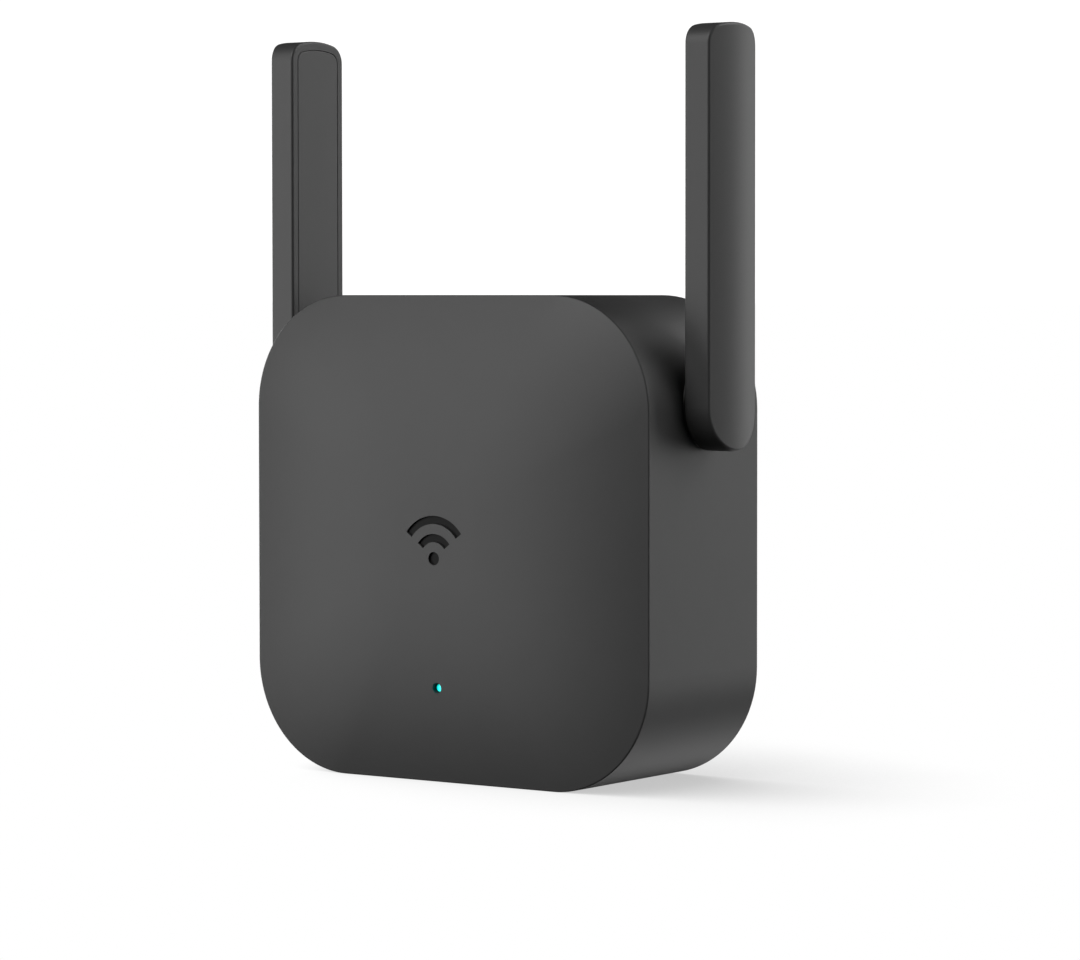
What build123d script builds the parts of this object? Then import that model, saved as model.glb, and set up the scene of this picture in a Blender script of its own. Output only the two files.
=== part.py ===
from build123d import *
import os
from math import radians, sqrt, tan

# A wall-plug wireless range extender with two fold-down antennas.
# Millimetres. +X is right seen from the front, -Y is the front, +Z is up.
# The origin is on the flat underside, in the middle of the width, right under the hinge axes.

# ---- Driving dimensions ----
BODY = 77.0                 # width and height of the housing
CORNER_R = 18.0             # radius of its corners, seen from the front
SIDE_DEPTH = 30.9           # front edge to back face
HINGE_TO_BACK = 15.0
CROWN = 3.5                 # how far the front bulges past its edge
WALL = 2.0                  # side wall of the housing
FRONT_WALL = 1.8            # front wall at its edge
TOTAL_HEIGHT = 119.0        # antennas raised
ANTENNA_WIDTH = 13.3        # front to back
ANTENNA_EDGE = 4.5          # thickness at the narrow faces
ANTENNA_CROWN = 1.0         # extra thickness along the middle of the outer face
ANTENNA_GAP = 0.25          # between antenna and side wall
SHAFT_R = 3.0               # hollow hinge shaft
SHAFT_HOLE_R = 1.6
SHAFT_CLEARANCE = 0.06      # radial, in the bush
PIN_R = 2.0                 # round mains pins
PIN_LENGTH = 19.0
PIN_SPACING = 18.6
SLEEVE_LENGTH = 10.0
SLEEVE_R = 1.8
BUTTON_R = 1.9
BUTTON_CLEARANCE = 0.05
BUTTON_TRAVEL = 0.4
COAX_D = 1.13

# ---- Places worked out from them ----
MID_Z = BODY / 2
SIDE_X = BODY / 2
BACK_Y = HINGE_TO_BACK
EDGE_Y = BACK_Y - SIDE_DEPTH
HINGE_Z = TOTAL_HEIGHT / 2          # a folded antenna then ends level with the underside
HINGE_BOSS_R = 6.5
HINGE_BOSS_X = SIDE_X + 0.1         # the boss stands just proud of the side wall
HINGE_SEAT_X = 33.5                 # inner end of the boss
ANTENNA_X = SIDE_X + ANTENNA_GAP    # inner face of the antenna
SHAFT_END_X = 29.0
COVER_Y = BACK_Y - 2.0              # inner face of the rear cover
POWER_BOARD_Y = (8.0, 9.6)
MAIN_BOARD_Y = (-9.2, -8.0)
LED_Z = 15.2
BUTTON_Y, BUTTON_Z = -10.3, 22.0
LINK_Z = 19.0                       # header that joins the two boards
SOCKET_X, SOCKET_Z = 20.0, 50.0     # antenna sockets on the main board
SHIELD_X, SHIELD_Z = (-15.0, 15.0), (28.0, 56.0)
RADIATOR_X = 40.9                   # middle of the pocket inside the antenna
RADIATOR_Z = (68.0, 112.0)
MAIN_SCREWS = [(x, z) for x in (-27.0, 27.0) for z in (14.0, 64.0)]
POWER_SCREWS = [(x, z) for x in (-22.5, 22.5) for z in (18.0, 58.0)]
# Snap hooks of the rear cover: turn about the middle of the body, and offset along that wall.
HOOKS = [(0, -8.5), (180, 8.5), (90, -12.0), (90, 12.0), (270, -12.0), (270, 12.0)]


# ---- Small helpers ----
def block(x, y, z):
    """Box between low and high values along each axis."""
    spans = (x, y, z)
    middle = [(low + high) / 2 for low, high in spans]
    return Pos(*middle) * Box(*[high - low for low, high in spans])


def rod_x(radius, x, y0, z0):
    """Round rod along X."""
    return Pos((x[0] + x[1]) / 2, y0, z0) * Rot(0, 90, 0) * Cylinder(radius, x[1] - x[0])


def rod_y(radius, x0, y, z0):
    """Round rod along Y."""
    return Pos(x0, (y[0] + y[1]) / 2, z0) * Rot(90, 0, 0) * Cylinder(radius, y[1] - y[0])


def front_plane(y, z0=MID_Z):
    """Plane facing the front; sketches on it run along X and Z."""
    return Plane(origin=(0, y, z0), x_dir=(1, 0, 0), z_dir=(0, -1, 0))


def side_plane(x):
    """Plane facing +X; sketches on it run along Y and Z."""
    return Plane(origin=(x, 0, 0), x_dir=(0, 1, 0), z_dir=(1, 0, 0))


def slab(sketch, y, z0=MID_Z):
    """Sketch seen from the front, filled from y[0] back to y[1]."""
    return extrude(front_plane(y[1], z0) * sketch, y[1] - y[0])


def turned(part, angle):
    """Part turned about the front-to-back axis through the middle of the body."""
    return Pos(0, 0, MID_Z) * Rot(0, angle, 0) * Pos(0, 0, -MID_Z) * part


def left_of(part):
    """Mirror image of a right-hand part."""
    return mirror(part, about=Plane.YZ)


# ---- Housing ----
def crowned_block(inset, edge_y, crown):
    """Rounded square prism whose front is a shallow pillow with a plane rim."""
    size = BODY - 2 * inset
    radius = CORNER_R - inset
    prism = slab(RectangleRounded(size, size, radius), (edge_y, BACK_Y))
    steps = (1.0, 0.96, 0.9, 0.8, 0.65, 0.5, 0.35, 0.2)
    rings = [
        front_plane(edge_y - crown * (1 - s ** 3)) * RectangleRounded(size * s, size * s, radius * s)
        for s in steps
    ]
    return prism + loft(rings)


def signal_mark(shrink=0.0):
    """Plain signal symbol, a dot under two arcs, 10.8 wide and 7.8 high."""
    half_angle = radians(53)
    reach = 10.0
    wedge = Polygon(
        (0, 0), (reach * tan(half_angle), reach), (-reach * tan(half_angle), reach), align=None
    )
    mark = Circle(1.05 - shrink)
    for middle_r in (3.25, 6.1):
        ring = Circle(middle_r + 0.65 - shrink) - Circle(middle_r - 0.65 + shrink)
        mark += ring & wedge
    return Pos(0, -2.85) * mark


def hook_pocket(offset):
    """Recess in the side wall that a snap hook's barb drops into."""
    z = MID_Z + offset
    return block((SIDE_X - WALL - 0.5, SIDE_X - WALL + 0.7), (4.8, 6.7), (z - 3.2, z + 3.2))


def make_housing_shell():
    shell = crowned_block(0, EDGE_Y, CROWN)
    rim = shell.edges().filter_by_position(Axis.Y, EDGE_Y - 0.01, EDGE_Y + 0.01)
    shell = fillet(rim, 0.25)
    back_rim = shell.faces().sort_by(Axis.Y)[-1].edges()
    shell = fillet(back_rim, 0.5)
    shell -= crowned_block(WALL, EDGE_Y + FRONT_WALL, CROWN - 0.3)
    shell -= slab(RectangleRounded(BODY - 2.4, BODY - 2.4, CORNER_R - 1.2), (COVER_Y, BACK_Y))
    for side in (1, -1):
        ends = sorted((side * HINGE_SEAT_X, side * HINGE_BOSS_X))
        boss = rod_x(HINGE_BOSS_R, ends, 0, HINGE_Z)
        outer_rim = boss.faces().sort_by(Axis.X)[-1 if side > 0 else 0].edges()
        shell += fillet(outer_rim, 0.25)
        shell -= rod_x(4.2, ends, 0, HINGE_Z)
    for x0, z0 in MAIN_SCREWS:
        post = rod_y(3.0, x0, (EDGE_Y, MAIN_BOARD_Y[0]), z0)
        shell += post - rod_y(0.95, x0, (-13.4, MAIN_BOARD_Y[0]), z0)
    for angle, offset in HOOKS:
        shell -= turned(hook_pocket(offset), angle)
    shell -= slab(signal_mark(), (EDGE_Y - 5.0, EDGE_Y + 1.0))
    shell -= rod_y(0.85, 0, (EDGE_Y - 5.0, EDGE_Y + 2.0), LED_Z)
    shell -= rod_x(BUTTON_R + BUTTON_CLEARANCE, (-SIDE_X - 1, -SIDE_X + WALL + 1), BUTTON_Y, BUTTON_Z)
    return shell


def make_emblem_badge():
    """Dark badge fixed behind the front, with the symbol standing in its cut-outs."""
    plate = slab(RectangleRounded(14.0, 11.0, 1.5), (EDGE_Y - 1.35, EDGE_Y - 0.3))
    return plate + slab(signal_mark(0.03), (EDGE_Y - 3.1, EDGE_Y - 1.35))


def make_light_pipe():
    pipe = rod_y(0.8, 0, (EDGE_Y - 1.9, -10.1), LED_Z)
    return pipe + rod_y(1.6, 0, (EDGE_Y - 0.3, EDGE_Y + 0.4), LED_Z)


# ---- Rear cover and plug ----
def snap_hook(offset):
    z = MID_Z + offset
    inner_x = SIDE_X - WALL - 0.1
    arm = block((inner_x - 1.2, inner_x), (5.0, COVER_Y), (z - 3.0, z + 3.0))
    barb = block((inner_x, inner_x + 0.6), (5.0, 6.5), (z - 3.0, z + 3.0))
    return arm + barb


def make_rear_cover():
    cover = slab(RectangleRounded(BODY - 2.7, BODY - 2.7, CORNER_R - 1.35), (COVER_Y, BACK_Y))
    for angle, offset in HOOKS:
        cover += turned(snap_hook(offset), angle)
    for x0, z0 in POWER_SCREWS:
        cover += rod_y(2.6, x0, (POWER_BOARD_Y[1], COVER_Y), z0)
        cover -= rod_y(0.95, x0, (POWER_BOARD_Y[1], COVER_Y + 0.6), z0)
    cover -= slab(SlotOverall(32.1, 13.1), (COVER_Y, BACK_Y))
    for i in range(-4, 5):
        cover -= slab(Pos(4.0 * i, 25.5) * SlotOverall(9.0, 1.6, rotation=90), (COVER_Y, BACK_Y))
    for i in range(-3, 4):
        cover -= slab(Pos(4.0 * i, -30.0) * SlotOverall(6.0, 1.6, rotation=90), (COVER_Y, BACK_Y))
    cover -= slab(Pos(0, -17.0) * RectangleRounded(40.3, 13.3, 1.0), (BACK_Y - 0.25, BACK_Y))
    return cover


def make_rating_label():
    return slab(Pos(0, -17.0) * RectangleRounded(40.0, 13.0, 1.0), (BACK_Y - 0.25, BACK_Y - 0.05))


def make_plug_insert():
    """Insulating block that carries the pins, seated in the rear cover from inside."""
    insert = slab(SlotOverall(32.0, 13.0), (COVER_Y, BACK_Y))
    insert += slab(SlotOverall(36.0, 17.0), (COVER_Y - 1.5, COVER_Y))
    for x0 in (-PIN_SPACING / 2, PIN_SPACING / 2):
        insert -= rod_y(1.5, x0, (COVER_Y - 1.5, COVER_Y), MID_Z)
        insert -= rod_y(SLEEVE_R, x0, (COVER_Y, BACK_Y), MID_Z)
    return insert


def make_plug_pin(x0):
    tip_start = BACK_Y + SLEEVE_LENGTH
    tip = rod_y(PIN_R, x0, (tip_start, BACK_Y + PIN_LENGTH), MID_Z)
    tip = fillet(tip.faces().sort_by(Axis.Y)[-1].edges(), 1.2)
    return tip + rod_y(1.5, x0, (10.9, tip_start), MID_Z)


def make_pin_sleeve(x0):
    span = (COVER_Y, BACK_Y + SLEEVE_LENGTH)
    return rod_y(SLEEVE_R, x0, span, MID_Z) - rod_y(1.5, x0, span, MID_Z)


def make_contact_spring(x0):
    """Bent strip soldered to the power board and pressed on the pin's inner end."""
    x = (x0 - 1.5, x0 + 1.5)
    foot = block(x, (9.6, 9.9), (MID_Z - 4.5, MID_Z - 1.5))
    riser = block(x, (9.9, 10.6), (MID_Z - 4.5, MID_Z - 4.2))
    leaf = block(x, (10.6, 10.9), (MID_Z - 4.5, MID_Z + 2.0))
    return foot + riser + leaf


# ---- Power board ----
def link_pin_places():
    return [2.54 * (i - 1.5) for i in range(4)]


def make_power_board():
    board = slab(RectangleRounded(52.0, 48.0, 3.0), POWER_BOARD_Y, 38.0)
    for x0, z0 in POWER_SCREWS:
        board -= rod_y(1.15, x0, POWER_BOARD_Y, z0)
    for x0 in link_pin_places():
        board -= rod_y(0.5, x0, POWER_BOARD_Y, LINK_Z)
    return board


def pan_screws(places, head_y, tip_y):
    """Pan-head screws driven from head_y towards tip_y, with cross recesses."""
    away = 1 if head_y > tip_y else -1
    group = []
    for x0, z0 in places:
        head = rod_y(1.9, x0, sorted((head_y, head_y + away * 1.4)), z0)
        crest = head.faces().sort_by(Axis.Y)[-1 if away > 0 else 0]
        head = fillet(crest.edges(), 0.4)
        recess_y = sorted((head_y + away * 0.6, head_y + away * 1.4))
        head -= block((x0 - 1.1, x0 + 1.1), recess_y, (z0 - 0.2, z0 + 0.2))
        head -= block((x0 - 0.2, x0 + 0.2), recess_y, (z0 - 1.1, z0 + 1.1))
        group.append(head + rod_y(0.92, x0, sorted((head_y, tip_y)), z0))
    return Compound([solid for screw in group for solid in screw.solids()])


def make_transformer_core():
    """Pair of E cores: an outer frame with a middle leg running front to back."""
    core = block((2.5, 15.5), (-4.0, 7.4), (43.0, 49.0))
    for window_x in ((4.1, 7.4), (10.6, 13.9)):
        core -= block(window_x, (-2.2, 5.6), (43.0, 49.0))
    return core


def make_transformer_bobbin():
    flanges = [block((4.2, 13.8), y, (39.7, 52.3)) for y in ((-2.2, -1.6), (5.0, 5.6))]
    tube = block((6.8, 11.2), (-1.6, 5.0), (42.4, 49.6))
    pins = [rod_y(0.35, 9 + dx, (5.6, 8.0), z0) for dx in (-3.0, 3.0) for z0 in (40.6, 51.4)]
    bobbin = tube
    for piece in flanges + pins:
        bobbin += piece
    return bobbin - block((7.4, 10.6), (-2.2, 5.6), (43.0, 49.0))


def make_transformer_winding():
    coil = block((4.5, 13.5), (-1.5, 4.9), (40.2, 51.8))
    coil = fillet(coil.edges().filter_by(Axis.Y), 1.5)
    return coil - block((6.8, 11.2), (-1.5, 4.9), (42.4, 49.6))


def can_capacitor(radius, length, x0, z0):
    """Aluminium can standing on the power board, with its rolled groove."""
    face_y = POWER_BOARD_Y[0]
    can = rod_y(radius, x0, (face_y - length, face_y), z0)
    can = fillet(can.edges(), 0.4)
    groove_y = (face_y - 1.8, face_y - 1.2)
    return can - (rod_y(radius + 1, x0, groove_y, z0) - rod_y(radius - 0.3, x0, groove_y, z0))


def make_bulk_capacitors():
    cans = [can_capacitor(4.0, 12.0, -14.0, z0) for z0 in (50.0, 41.0)]
    return Compound([solid for can in cans for solid in can.solids()])


def make_output_capacitor():
    return can_capacitor(3.15, 9.0, 17.0, 30.0)


def leaded_chip(x, y, z, lead_count, lead_y):
    """Moulded chip with gull-wing legs along its left and right sides."""
    chip = block(x, y, z)
    pitch = (z[1] - z[0]) / lead_count
    for i in range(lead_count):
        z0 = z[0] + pitch * (i + 0.5)
        leg_z = (z0 - pitch * 0.2, z0 + pitch * 0.2)
        chip += block((x[0] - 0.9, x[0]), lead_y, leg_z)
        chip += block((x[1], x[1] + 0.9), lead_y, leg_z)
    return chip


def make_bridge_rectifier():
    return leaded_chip((-17.0, -11.0), (5.5, 8.0), (21.5, 26.5), 2, (7.6, 8.0))


def make_power_controller():
    return leaded_chip((6.0, 10.0), (6.5, 8.0), (25.5, 30.5), 4, (7.6, 8.0))


def make_fusible_resistor():
    barrel = rod_x(1.5, (-18.5, -9.5), 6.2, 32.0)
    barrel = fillet(barrel.edges(), 0.5)
    leads = [block(x, (6.0, 8.0), (31.7, 32.3)) for x in ((-19.4, -18.5), (-9.5, -8.6))]
    return barrel + leads[0] + leads[1]


def make_choke_core():
    ends = [rod_y(3.0, -2.0, y, 25.0) for y in ((0.5, 1.7), (6.8, 8.0))]
    return rod_y(1.4, -2.0, (1.7, 6.8), 25.0) + ends[0] + ends[1]


def make_choke_winding():
    return rod_y(2.7, -2.0, (1.75, 6.75), 25.0) - rod_y(1.4, -2.0, (1.75, 6.75), 25.0)


def make_safety_capacitor():
    disc = rod_x(3.5, (18.4, 21.6), 4.0, 46.0)
    disc = fillet(disc.edges(), 1.2)
    leads = [block((19.7, 20.3), (6.0, 8.0), z) for z in ((43.6, 44.2), (47.8, 48.4))]
    return disc + leads[0] + leads[1]


def make_link_header_base():
    base = block((-5.1, 5.1), (5.5, 8.0), (LINK_Z - 1.25, LINK_Z + 1.25))
    for x0 in link_pin_places():
        base -= rod_y(0.4, x0, (5.5, 8.0), LINK_Z)
    return base


def make_link_header_pins():
    pins = [rod_y(0.4, x0, (-9.8, 10.2), LINK_Z) for x0 in link_pin_places()]
    return Compound([solid for pin in pins for solid in pin.solids()])


# ---- Main board ----
def make_main_board():
    board = slab(RectangleRounded(66.0, 62.0, 13.0), MAIN_BOARD_Y, 39.0)
    for x0, z0 in MAIN_SCREWS:
        board -= rod_y(1.15, x0, MAIN_BOARD_Y, z0)
    for x0 in link_pin_places():
        board -= rod_y(0.5, x0, MAIN_BOARD_Y, LINK_Z)
    return board


def make_shield_frame():
    frame = block(SHIELD_X, (-8.0, -6.2), SHIELD_Z)
    opening_x = (SHIELD_X[0] + 0.4, SHIELD_X[1] - 0.4)
    opening_z = (SHIELD_Z[0] + 0.4, SHIELD_Z[1] - 0.4)
    return frame - block(opening_x, (-8.0, -6.2), opening_z)


def make_shield_lid():
    skirt_x = (SHIELD_X[0] - 0.3, SHIELD_X[1] + 0.3)
    skirt_z = (SHIELD_Z[0] - 0.3, SHIELD_Z[1] + 0.3)
    lid = block(skirt_x, (-7.6, -5.9), skirt_z)
    return lid - block(SHIELD_X, (-7.6, -6.2), SHIELD_Z)


def make_thermal_pad():
    return block((-4.0, 4.0), (-7.1, -6.2), (38.0, 46.0))


def make_radio_chip():
    return block((-4.5, 4.5), (-8.0, -7.1), (37.5, 46.5))


def make_flash_chip():
    return leaded_chip((-23.0, -19.0), (-8.0, -7.0), (27.5, 32.5), 4, (-8.0, -7.8))


def make_crystal():
    can = block((7.6, 10.8), (-8.0, -7.2), (48.8, 51.2))
    return fillet(can.edges().filter_by(Axis.Y), 0.4)


def make_status_led():
    return block((-0.8, 0.8), (-10.0, MAIN_BOARD_Y[0]), (LED_Z - 0.4, LED_Z + 0.4))


def make_switch_case():
    case = block((-33.0, -29.4), (-12.4, MAIN_BOARD_Y[0]), (BUTTON_Z - 3.0, BUTTON_Z + 3.0))
    return case - rod_x(1.06, (-33.0, -31.3), BUTTON_Y, BUTTON_Z)


def make_insulation_sheet():
    return slab(RectangleRounded(30.0, 28.0, 1.0), (-5.9, -5.6), 42.0)


def make_coax_sockets():
    sockets = []
    for x0 in (-SOCKET_X, SOCKET_X):
        foot = block((x0 - 1.5, x0 + 1.5), (-8.0, -7.6), (SOCKET_Z - 1.5, SOCKET_Z + 1.5))
        sockets.append(foot + rod_y(1.0, x0, (-7.6, -7.1), SOCKET_Z))
    return Compound([solid for socket in sockets for solid in socket.solids()])


def make_coax_plugs():
    plugs = []
    for x0 in (-SOCKET_X, SOCKET_X):
        cap = rod_y(1.8, x0, (-7.1, -5.3), SOCKET_Z)
        neck = block((x0 - 0.9, x0 + 0.9), (-7.1, -5.3), (SOCKET_Z, SOCKET_Z + 2.2))
        plugs.append(cap + neck)
    return Compound([solid for plug in plugs for solid in plug.solids()])


# ---- Antenna coax: made along its whole route, split where the hinge turns ----
def coax(points, radius=None):
    """Thin coax. Without a given radius, each arc is as large as its runs allow."""
    points = [Vector(*point) for point in points]
    runs = [end - start for start, end in zip(points, points[1:])]
    radii = radius or [
        0.45 * min(a.length, b.length) / tan(radians(a.get_angle(b)) / 2)
        for a, b in zip(runs, runs[1:])
    ]
    path = FilletPolyline(*points, radius=radii)
    section = Plane(origin=path @ 0, z_dir=path % 0) * Circle(COAX_D / 2)
    tube = sweep(section, path=path)
    print("coax bend radii", radii, "volume ratio", tube.volume / (section.area * path.length))
    return tube


def make_board_coax():
    neck_z = SOCKET_Z + 2.2
    route = [
        (SHAFT_END_X, 0, HINGE_Z),
        (SHAFT_END_X - 6.5, 0, HINGE_Z),
        (SOCKET_X, -6.2, HINGE_Z - 1.0),
        (SOCKET_X, -6.2, neck_z),
    ]
    return coax(route)


def make_antenna_coax():
    """From the radiator down to the hinge axis, then along it through the hollow shaft."""
    route = [(RADIATOR_X, 0, RADIATOR_Z[0]), (RADIATOR_X, 0, HINGE_Z), (SHAFT_END_X, 0, HINGE_Z)]
    return coax(route, radius=2.6)


# ---- Hinge ----
def make_hinge_bush():
    bush = rod_x(4.2, (HINGE_SEAT_X, HINGE_BOSS_X), 0, HINGE_Z)
    bush += rod_x(5.5, (HINGE_SEAT_X - 1.0, HINGE_SEAT_X), 0, HINGE_Z)
    return bush - rod_x(SHAFT_R + SHAFT_CLEARANCE, (HINGE_SEAT_X - 1.0, HINGE_BOSS_X), 0, HINGE_Z)


def make_friction_washer():
    span = (31.0, HINGE_SEAT_X - 1.1)
    return rod_x(5.0, span, 0, HINGE_Z) - rod_x(SHAFT_R + 0.03, span, 0, HINGE_Z)


def make_retaining_clip():
    """Open ring snapped into the groove at the end of the shaft."""
    span = (30.2, 31.0)
    clip = rod_x(5.0, span, 0, HINGE_Z) - rod_x(2.4, span, 0, HINGE_Z)
    return clip - block(span, (-1.9, 1.9), (HINGE_Z - 5.5, HINGE_Z))


# ---- Antenna ----
def antenna_outline(inset):
    """Side outline: round at the hinge end, gently arched at the tip."""
    half = ANTENNA_WIDTH / 2 - inset
    tip_z = TOTAL_HEIGHT - inset
    arch_r = 20.0 - inset
    shoulder_z = tip_z - arch_r + sqrt(arch_r ** 2 - half ** 2)
    rim = [
        Line((half, HINGE_Z), (half, shoulder_z)),
        ThreePointArc((half, shoulder_z), (0, tip_z), (-half, shoulder_z)),
        Line((-half, shoulder_z), (-half, HINGE_Z)),
        ThreePointArc((-half, HINGE_Z), (0, HINGE_Z - half), (half, HINGE_Z)),
    ]
    outline = make_face(rim)
    return fillet(outline.vertices().group_by(Axis.Y)[-1], 3.0 - inset * 0.9)


def make_antenna_shell():
    thickness = ANTENNA_EDGE + ANTENNA_CROWN
    body = extrude(side_plane(ANTENNA_X) * antenna_outline(0), thickness)
    half = ANTENNA_WIDTH / 2
    crown_r = (half ** 2 + ANTENNA_CROWN ** 2) / (2 * ANTENNA_CROWN)
    body &= Pos(ANTENNA_X + thickness - crown_r, 0, 85) * Cylinder(crown_r, 80)
    outer_rim = body.edges().filter_by(lambda edge: edge.center().X > ANTENNA_X + ANTENNA_EDGE - 0.5)
    body = fillet(outer_rim, 0.45)
    inner_rim = body.edges().filter_by_position(Axis.X, ANTENNA_X - 0.01, ANTENNA_X + 0.01)
    body = fillet(inner_rim, 0.4)
    body -= extrude(side_plane(ANTENNA_X) * antenna_outline(1.4), 1.0)
    return body - extrude(side_plane(ANTENNA_X + 1.0) * antenna_outline(2.4), 2.9)


def make_antenna_cover():
    """Inner panel with the hollow hinge shaft moulded on."""
    cover = extrude(side_plane(ANTENNA_X) * antenna_outline(1.48), 1.0)
    rim = cover.edges().filter_by_position(Axis.X, ANTENNA_X - 0.01, ANTENNA_X + 0.01)
    cover = fillet(rim, 0.15)
    cover += rod_x(SHAFT_R, (SHAFT_END_X, ANTENNA_X + 1.0), 0, HINGE_Z)
    groove = rod_x(SHAFT_R + 1, (30.2, 31.0), 0, HINGE_Z) - rod_x(2.4, (30.2, 31.0), 0, HINGE_Z)
    cover -= groove
    return cover - rod_x(SHAFT_HOLE_R, (SHAFT_END_X, ANTENNA_X + 1.0), 0, HINGE_Z)


def make_antenna_radiator():
    """Narrow circuit strip with its two copper arms milled apart by a slot."""
    strip = block((RADIATOR_X - 0.3, RADIATOR_X + 0.3), (-3.6, 3.6), RADIATOR_Z)
    return strip - block((RADIATOR_X - 0.3, RADIATOR_X + 0.3), (-0.5, 0.5), (76.0, 104.0))


# ---- Pairing button ----
def make_pairing_button():
    wall_x = -SIDE_X
    head = rod_x(BUTTON_R, (wall_x + 0.1, wall_x + 2.1), BUTTON_Y, BUTTON_Z)
    head = fillet(head.faces().sort_by(Axis.X)[0].edges(), 0.3)
    flange = rod_x(2.7, (wall_x + 2.1, wall_x + 2.8), BUTTON_Y, BUTTON_Z)
    return head + flange + rod_x(1.2, (wall_x + 2.8, wall_x + 4.3), BUTTON_Y, BUTTON_Z)


def make_switch_plunger():
    return rod_x(1.0, (-SIDE_X + 4.3, -31.75), BUTTON_Y, BUTTON_Z)


# ---- All sub-parts ----
def make_nodes():
    half_spacing = PIN_SPACING / 2
    nodes = {
        "housing_shell": make_housing_shell(),
        "emblem_badge": make_emblem_badge(),
        "light_pipe": make_light_pipe(),
        "rear_cover": make_rear_cover(),
        "rating_label": make_rating_label(),
        "plug_insert": make_plug_insert(),
        "power_board": make_power_board(),
        "power_board_screws": pan_screws(POWER_SCREWS, POWER_BOARD_Y[0], 13.3),
        "transformer_core": make_transformer_core(),
        "transformer_bobbin": make_transformer_bobbin(),
        "transformer_winding": make_transformer_winding(),
        "bulk_capacitors": make_bulk_capacitors(),
        "output_capacitor": make_output_capacitor(),
        "bridge_rectifier": make_bridge_rectifier(),
        "power_controller": make_power_controller(),
        "fusible_resistor": make_fusible_resistor(),
        "choke_core": make_choke_core(),
        "choke_winding": make_choke_winding(),
        "safety_capacitor": make_safety_capacitor(),
        "link_header_base": make_link_header_base(),
        "link_header_pins": make_link_header_pins(),
        "main_board": make_main_board(),
        "main_board_screws": pan_screws(MAIN_SCREWS, MAIN_BOARD_Y[1], -13.0),
        "shield_frame": make_shield_frame(),
        "shield_lid": make_shield_lid(),
        "thermal_pad": make_thermal_pad(),
        "radio_chip": make_radio_chip(),
        "flash_chip": make_flash_chip(),
        "crystal": make_crystal(),
        "status_led": make_status_led(),
        "switch_case": make_switch_case(),
        "insulation_sheet": make_insulation_sheet(),
        "coax_sockets": make_coax_sockets(),
        "coax_plugs": make_coax_plugs(),
        "pairing_button": make_pairing_button(),
        "switch_plunger": make_switch_plunger(),
    }
    for name, x0 in (("left", -half_spacing), ("right", half_spacing)):
        nodes[f"plug_pin_{name}"] = make_plug_pin(x0)
        nodes[f"pin_sleeve_{name}"] = make_pin_sleeve(x0)
        nodes[f"contact_spring_{name}"] = make_contact_spring(x0)
    right_hand = {
        "board_coax": make_board_coax(),
        "hinge_bush": make_hinge_bush(),
        "antenna_washer": make_friction_washer(),
        "antenna_clip": make_retaining_clip(),
        "antenna_shell": make_antenna_shell(),
        "antenna_cover": make_antenna_cover(),
        "antenna_radiator": make_antenna_radiator(),
        "antenna_coax": make_antenna_coax(),
    }
    for name, part in right_hand.items():
        nodes[f"{name}_right"] = part
        nodes[f"{name}_left"] = left_of(part)
    return nodes


os.makedirs("parts", exist_ok=True)
for node_name, node_part in make_nodes().items():
    export_step(node_part, f"parts/{node_name}.step")
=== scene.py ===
import bpy
import math
from mathutils import Matrix, Vector

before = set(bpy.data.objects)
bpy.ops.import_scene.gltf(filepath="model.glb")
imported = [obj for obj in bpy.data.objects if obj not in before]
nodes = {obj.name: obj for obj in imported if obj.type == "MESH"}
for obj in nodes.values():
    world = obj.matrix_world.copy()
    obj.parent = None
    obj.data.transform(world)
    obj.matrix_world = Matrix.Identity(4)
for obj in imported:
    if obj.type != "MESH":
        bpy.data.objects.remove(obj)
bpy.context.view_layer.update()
MM = 0.001
LED_HEIGHT = 15.2       # of the light pipe's axis, in millimetres
AIM = Vector((0, 0, 0.045))         # point in the housing that every softbox faces, in metres
SOFTBOX_SIZE = 0.6
SOFTBOX_DISTANCE = 1.1
FLOOR_HALF = 30.0


# ---- Camera: level with the top of the housing, to the right of the object ----
def make_camera():
    data = bpy.data.cameras.new("camera")
    data.sensor_width = 36.0
    data.lens = 129.1
    data.shift_x, data.shift_y = -0.0926, -0.0417
    data.clip_start, data.clip_end = 0.01, 100.0
    camera = bpy.data.objects.new("camera", data)
    bpy.context.scene.collection.objects.link(camera)
    yaw, pitch = 0.59873, -0.03603
    camera.location = Vector((368.7, -502.3, 76.95)) * MM
    camera.rotation_euler = (math.pi / 2 + pitch, 0, yaw)
    bpy.context.scene.camera = camera


# ---- Stage ----
def new_material(name):
    material = bpy.data.materials.new(name)
    material.use_nodes = True
    tree = material.node_tree
    tree.nodes.clear()
    output = tree.nodes.new("ShaderNodeOutputMaterial")
    return material, tree, output


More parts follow.
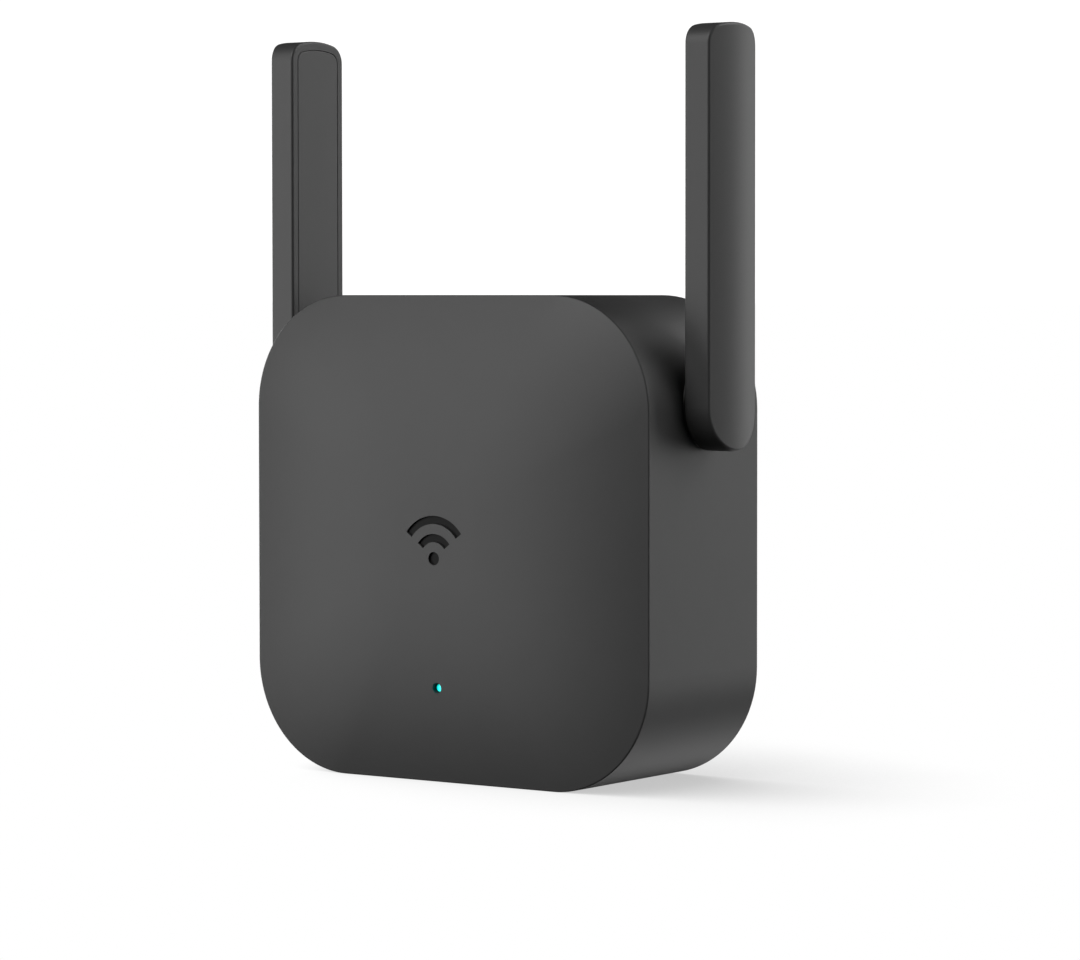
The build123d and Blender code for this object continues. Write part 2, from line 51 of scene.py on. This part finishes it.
def make_floor():
    """Even white floor for the camera only, with a painted shadow: darker where the object stands in the way
    to the left.
    """
    mesh = bpy.data.meshes.new("floor")
    corners = [(FLOOR_HALF * x, FLOOR_HALF * y, 0) for x, y in ((-1, -1), (1, -1), (1, 1), (-1, 1))]
    mesh.from_pydata(corners, [], [(0, 1, 2, 3)])
    floor = bpy.data.objects.new("floor", mesh)
    bpy.context.scene.collection.objects.link(floor)
    material, tree, output = new_material("floor_white_painted_shadow")
    # Painted shadow: occlusion toward the upper left front dims the floor's glow to the object's right, down
    # to 0.38 of full.
    leftward = tree.nodes.new("ShaderNodeCombineXYZ")
    for axis, value in zip("XYZ", (-0.75, -0.35, 0.55)):
        leftward.inputs[axis].default_value = value
    painted_shadow = tree.nodes.new("ShaderNodeAmbientOcclusion")
    painted_shadow.inputs["Distance"].default_value = 0.06
    tree.links.new(leftward.outputs["Vector"], painted_shadow.inputs["Normal"])
    strength = tree.nodes.new("ShaderNodeMapRange")
    strength.inputs["From Min"].default_value = 0.0
    strength.inputs["From Max"].default_value = 0.86
    strength.inputs["To Min"].default_value = 0.38
    strength.inputs["To Max"].default_value = 1.0
    tree.links.new(painted_shadow.outputs["AO"], strength.inputs["Value"])
    glow = tree.nodes.new("ShaderNodeEmission")
    tree.links.new(strength.outputs["Result"], glow.inputs["Strength"])
    tree.links.new(glow.outputs[0], output.inputs["Surface"])
    mesh.materials.append(material)
    floor.visible_diffuse = False
    floor.visible_glossy = False
    floor.visible_shadow = False


def make_world():
    """White to the camera, nearly dark to everything else, so the softboxes shape the object."""
    world = bpy.data.worlds.new("studio")
    bpy.context.scene.world = world
    world.use_nodes = True
    tree = world.node_tree
    tree.nodes.clear()
    output = tree.nodes.new("ShaderNodeOutputWorld")
    white = tree.nodes.new("ShaderNodeBackground")
    white.inputs["Color"].default_value = (1, 1, 1, 1)
    white.inputs["Strength"].default_value = 1.1
    ambient = tree.nodes.new("ShaderNodeBackground")
    ambient.inputs["Color"].default_value = (1, 1, 1, 1)
    ambient.inputs["Strength"].default_value = 0.018
    path = tree.nodes.new("ShaderNodeLightPath")
    mix = tree.nodes.new("ShaderNodeMixShader")
    tree.links.new(path.outputs["Is Camera Ray"], mix.inputs[0])
    tree.links.new(ambient.outputs[0], mix.inputs[1])
    tree.links.new(white.outputs[0], mix.inputs[2])
    tree.links.new(mix.outputs[0], output.inputs["Surface"])


def softbox(name, bearing, height, power):
    """Square area light on a sphere round the middle of the housing, turned to it."""
    data = bpy.data.lights.new(name, "AREA")
    data.shape = "SQUARE"
    data.size = SOFTBOX_SIZE
    data.energy = power
    light = bpy.data.objects.new(name, data)
    bpy.context.scene.collection.objects.link(light)
    across, up = math.radians(bearing), math.radians(height)
    away = Vector((math.sin(across) * math.cos(up), -math.cos(across) * math.cos(up), math.sin(up)))
    light.location = AIM + away * SOFTBOX_DISTANCE
    light.rotation_mode = "QUATERNION"
    light.rotation_quaternion = (AIM - light.location).to_track_quat("-Z", "Y")
    light.visible_camera = False


def make_lights():
    """Each softbox has its bearing from the front toward the right and its height, in degrees, and watts."""
    softbox("key_upper", -15, 35, 7.2)
    softbox("key_left", -45, 0, 4.3)
    softbox("side_left", -110, 0, 4.5)
    softbox("side_right", 105, 0, 1.9)
    softbox("top_right", 135, 35, 4.2)
    softbox("top_back", 160, 35, 1.6)
    softbox("rim_back", 160, 0, 2.4)
    softbox("rim_low", 180, -35, 1.5)


# ---- Materials ----
def object_coordinates(tree):
    return tree.nodes.new("ShaderNodeTexCoord").outputs["Object"]


def noise(tree, coordinates, size_mm, detail):
    """Noise whose features are about size_mm across."""
    node = tree.nodes.new("ShaderNodeTexNoise")
    node.inputs["Scale"].default_value = 1 / (size_mm * MM)
    node.inputs["Detail"].default_value = detail
    tree.links.new(coordinates, node.inputs["Vector"])
    return node.outputs["Fac"]


def ramp(tree, factor, low, high):
    """Factor spread from low to high."""
    node = tree.nodes.new("ShaderNodeMapRange")
    node.inputs["To Min"].default_value = low
    node.inputs["To Max"].default_value = high
    tree.links.new(factor, node.inputs["Value"])
    return node.outputs["Result"]


def tint(tree, factor, dark, light):
    """Colour between dark and light."""
    node = tree.nodes.new("ShaderNodeMix")
    node.data_type = "RGBA"
    node.inputs["A"].default_value = (*dark, 1)
    node.inputs["B"].default_value = (*light, 1)
    tree.links.new(factor, node.inputs["Factor"])
    return node.outputs["Result"]


def bump(tree, height, distance_mm, strength):
    """Normal of a surface grain distance_mm deep."""
    node = tree.nodes.new("ShaderNodeBump")
    node.inputs["Distance"].default_value = distance_mm * MM
    node.inputs["Strength"].default_value = strength
    tree.links.new(height, node.inputs["Height"])
    return node.outputs["Normal"]


def surface(name, dark, light, rough, grain_mm, depth_mm, metallic=0.0, mottle_mm=6.0, specular=0.5):
    """Solid material with a mottled colour, an uneven gloss and a fine surface grain."""
    material, tree, output = new_material(name)
    shader = tree.nodes.new("ShaderNodeBsdfPrincipled")
    place = object_coordinates(tree)
    grain = noise(tree, place, grain_mm, 2.0)
    mottle = noise(tree, place, mottle_mm, 4.0)
    tree.links.new(tint(tree, mottle, dark, light), shader.inputs["Base Color"])
    tree.links.new(ramp(tree, grain, rough[0], rough[1]), shader.inputs["Roughness"])
    tree.links.new(bump(tree, grain, depth_mm, 0.6), shader.inputs["Normal"])
    shader.inputs["Metallic"].default_value = metallic
    shader.inputs["Specular IOR Level"].default_value = specular
    tree.links.new(shader.outputs[0], output.inputs["Surface"])
    return material


def grey(value):
    return (value, value, value)


def make_materials():
    materials = {
        "shell": surface("shell_plastic", grey(0.040), grey(0.044), (0.46, 0.54), 0.16, 0.012),
        "panel": surface("panel_plastic", grey(0.038), grey(0.042), (0.48, 0.56), 0.16, 0.012),
        # Antenna covers: the shell's plastic painted lighter, painted light in place of light the softboxes
        # don't bring to the covers' faces.
        "cover": surface("antenna_cover_painted_light_plastic", grey(0.054), grey(0.058), (0.46, 0.54), 0.16, 0.012),
        "badge": surface("badge_plastic", grey(0.008), grey(0.011), (0.46, 0.54), 0.3, 0.004, specular=0.1),
        "label": surface("label_film", grey(0.028), grey(0.034), (0.3, 0.4), 0.5, 0.004),
        "black": surface("black_nylon", grey(0.012), grey(0.018), (0.4, 0.5), 0.3, 0.01),
        "white": surface("white_nylon", grey(0.6), grey(0.68), (0.4, 0.5), 0.3, 0.01),
        "nickel": surface("nickel_plate", (0.66, 0.64, 0.6), (0.74, 0.72, 0.68), (0.28, 0.38), 0.4,
                          0.003, 1.0),
        "bronze": surface("contact_bronze", (0.55, 0.38, 0.16), (0.68, 0.48, 0.22), (0.22, 0.34), 0.4,
                          0.004, 1.0),
        "board": surface("solder_mask", (0.01, 0.07, 0.025), (0.014, 0.1, 0.035), (0.22, 0.34), 0.8,
                         0.006, 0.0, 2.0),
        "steel": surface("zinc_steel", (0.5, 0.5, 0.52), (0.62, 0.62, 0.64), (0.24, 0.36), 0.3,
                         0.004, 1.0),
        "ferrite": surface("ferrite", grey(0.03), grey(0.05), (0.55, 0.7), 0.3, 0.02),
        "tape": surface("yellow_tape", (0.5, 0.34, 0.02), (0.6, 0.42, 0.03), (0.3, 0.4), 1.0, 0.01),
        "copper": surface("enamelled_wire", (0.5, 0.2, 0.07), (0.6, 0.26, 0.1), (0.25, 0.35), 0.25,
                          0.04, 1.0),
        "can": surface("capacitor_sleeve", (0.02, 0.03, 0.07), (0.03, 0.04, 0.09), (0.3, 0.4), 0.6,
                       0.004),
        "epoxy": surface("moulded_epoxy", grey(0.014), grey(0.02), (0.5, 0.62), 0.15, 0.01),
        "resistor": surface("resistor_coat", (0.05, 0.2, 0.1), (0.07, 0.26, 0.13), (0.35, 0.5), 0.5,
                            0.01),
        "ceramic": surface("dipped_ceramic", (0.01, 0.06, 0.35), (0.02, 0.08, 0.42), (0.2, 0.3), 1.5,
                           0.02),
        "silicone": surface("thermal_silicone", (0.3, 0.34, 0.4), (0.36, 0.4, 0.46), (0.6, 0.75), 0.4,
                            0.02),
        "rubber": surface("washer_rubber", grey(0.015), grey(0.02), (0.65, 0.8), 0.3, 0.02),
        "sheet": surface("insulation_film", (0.5, 0.48, 0.38), (0.58, 0.55, 0.44), (0.25, 0.35), 1.0,
                         0.004),
        "jacket": surface("coax_jacket", grey(0.012), grey(0.016), (0.25, 0.35), 0.4, 0.006),
    }
    materials["light"] = make_light_material()
    return materials


def make_light_material():
    """Clear pipe with a cyan lamp behind its middle, so a dark ring is left round the bright spot."""
    material, tree, output = new_material("lit_pipe")
    shader = tree.nodes.new("ShaderNodeBsdfPrincipled")
    place = object_coordinates(tree)
    flat = tree.nodes.new("ShaderNodeVectorMath")
    flat.operation = "MULTIPLY"
    flat.inputs[1].default_value = (1, 0, 1)
    tree.links.new(place, flat.inputs[0])
    radius = tree.nodes.new("ShaderNodeVectorMath")
    radius.operation = "DISTANCE"
    radius.inputs[1].default_value = Vector((0, 0, LED_HEIGHT)) * MM
    tree.links.new(flat.outputs["Vector"], radius.inputs[0])
    spot = tree.nodes.new("ShaderNodeMapRange")
    spot.inputs["From Min"].default_value = 0.66 * MM
    spot.inputs["From Max"].default_value = 0.5 * MM
    tree.links.new(radius.outputs["Value"], spot.inputs["Value"])
    cyan = tint(tree, noise(tree, place, 0.8, 2.0), (0.0, 0.72, 0.66), (0.01, 1.0, 0.92))
    lamp = tree.nodes.new("ShaderNodeMix")
    lamp.data_type = "RGBA"
    lamp.inputs["A"].default_value = (0.002, 0.012, 0.012, 1)
    tree.links.new(cyan, lamp.inputs["B"])
    tree.links.new(spot.outputs["Result"], lamp.inputs["Factor"])
    tree.links.new(lamp.outputs["Result"], shader.inputs["Base Color"])
    tree.links.new(lamp.outputs["Result"], shader.inputs["Emission Color"])
    shader.inputs["Emission Strength"].default_value = 1.0
    shader.inputs["Roughness"].default_value = 0.25
    tree.links.new(shader.outputs[0], output.inputs["Surface"])
    return material


NODE_MATERIALS = {
    "shell": ("housing_shell", "antenna_shell_left", "antenna_shell_right", "pairing_button"),
    "panel": ("rear_cover",),
    "cover": ("antenna_cover_left", "antenna_cover_right"),
    "badge": ("emblem_badge",),
    "label": ("rating_label",),
    "black": ("plug_insert", "pin_sleeve_left", "pin_sleeve_right", "transformer_bobbin",
              "link_header_base", "switch_case"),
    "white": ("hinge_bush_left", "hinge_bush_right", "switch_plunger"),
    "nickel": ("plug_pin_left", "plug_pin_right"),
    "bronze": ("contact_spring_left", "contact_spring_right", "link_header_pins", "coax_sockets",
               "coax_plugs"),
    "board": ("power_board", "main_board", "antenna_radiator_left", "antenna_radiator_right"),
    "steel": ("power_board_screws", "main_board_screws", "shield_frame", "shield_lid", "crystal",
              "antenna_clip_left", "antenna_clip_right"),
    "ferrite": ("transformer_core", "choke_core"),
    "tape": ("transformer_winding",),
    "copper": ("choke_winding",),
    "can": ("bulk_capacitors", "output_capacitor"),
    "epoxy": ("bridge_rectifier", "power_controller", "radio_chip", "flash_chip"),
    "resistor": ("fusible_resistor",),
    "ceramic": ("safety_capacitor",),
    "silicone": ("thermal_pad",),
    "rubber": ("antenna_washer_left", "antenna_washer_right"),
    "sheet": ("insulation_sheet",),
    "jacket": ("board_coax_left", "board_coax_right", "antenna_coax_left", "antenna_coax_right"),
    "light": ("light_pipe", "status_led"),
}


def finish_nodes(materials):
    for key, names in NODE_MATERIALS.items():
        for name in names:
            slots = nodes[name].data.materials
            slots.clear()
            slots.append(materials[key])


make_camera()
make_floor()
make_world()
make_lights()
materials = make_materials()
finish_nodes(materials)
bpy.context.scene.view_settings.view_transform = "Standard"
